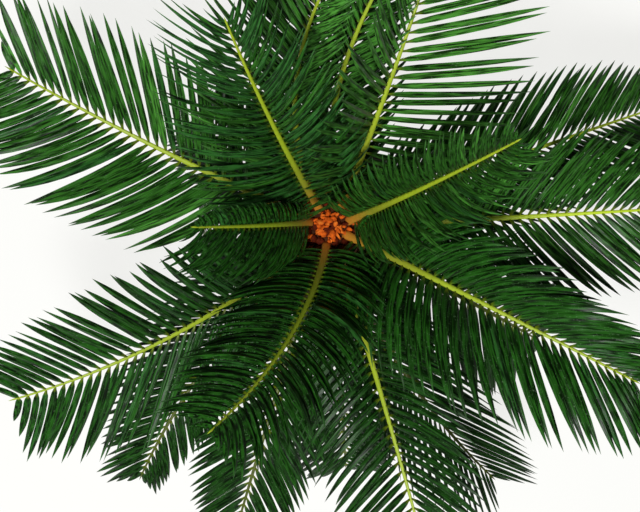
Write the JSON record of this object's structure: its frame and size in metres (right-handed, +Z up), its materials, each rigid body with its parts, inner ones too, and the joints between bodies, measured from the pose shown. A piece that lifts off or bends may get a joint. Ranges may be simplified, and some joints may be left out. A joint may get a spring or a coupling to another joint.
{
  "type": "artificial potted sago palm",
  "caption": "Artificial sago palm in a plain round pot: arching fronds with strap leaflets rise in tiers from a short scaly trunk with a rust-coloured tuft at its crown.",
  "frame": {"origin": "centre of the pot's flat underside", "axes": "+Z up along the trunk, -Y towards the viewer at azimuth 0"},
  "size_m": [0.9728, 0.8719, 0.7622],
  "materials": {
    "pot": "matte charcoal stoneware",
    "soil": "loose bark and fibre",
    "trunk": "moulded, rough",
    "crown_tuft": "dry fibre",
    "frond": "satin, coated cloth leaflets on a moulded rib"
  },
  "bodies": {
    "root": {"pot": "pot", "soil": "soil", "trunk": "trunk", "crown_tuft": "crown_tuft", "upper_frond_1": "frond", "upper_frond_2": "frond", "upper_frond_3": "frond", "upper_frond_4": "frond", "upper_frond_5": "frond", "upper_frond_6": "frond", "middle_frond_1": "frond", "middle_frond_2": "frond", "middle_frond_3": "frond", "middle_frond_4": "frond", "middle_frond_5": "frond", "middle_frond_6": "frond", "lower_frond_1": "frond", "lower_frond_2": "frond", "lower_frond_3": "frond", "lower_frond_4": "frond", "lower_frond_5": "frond", "lower_frond_6": "frond", "lower_frond_7": "frond", "lower_frond_8": "frond", "lower_frond_9": "frond"}
  },
  "joints": []
}
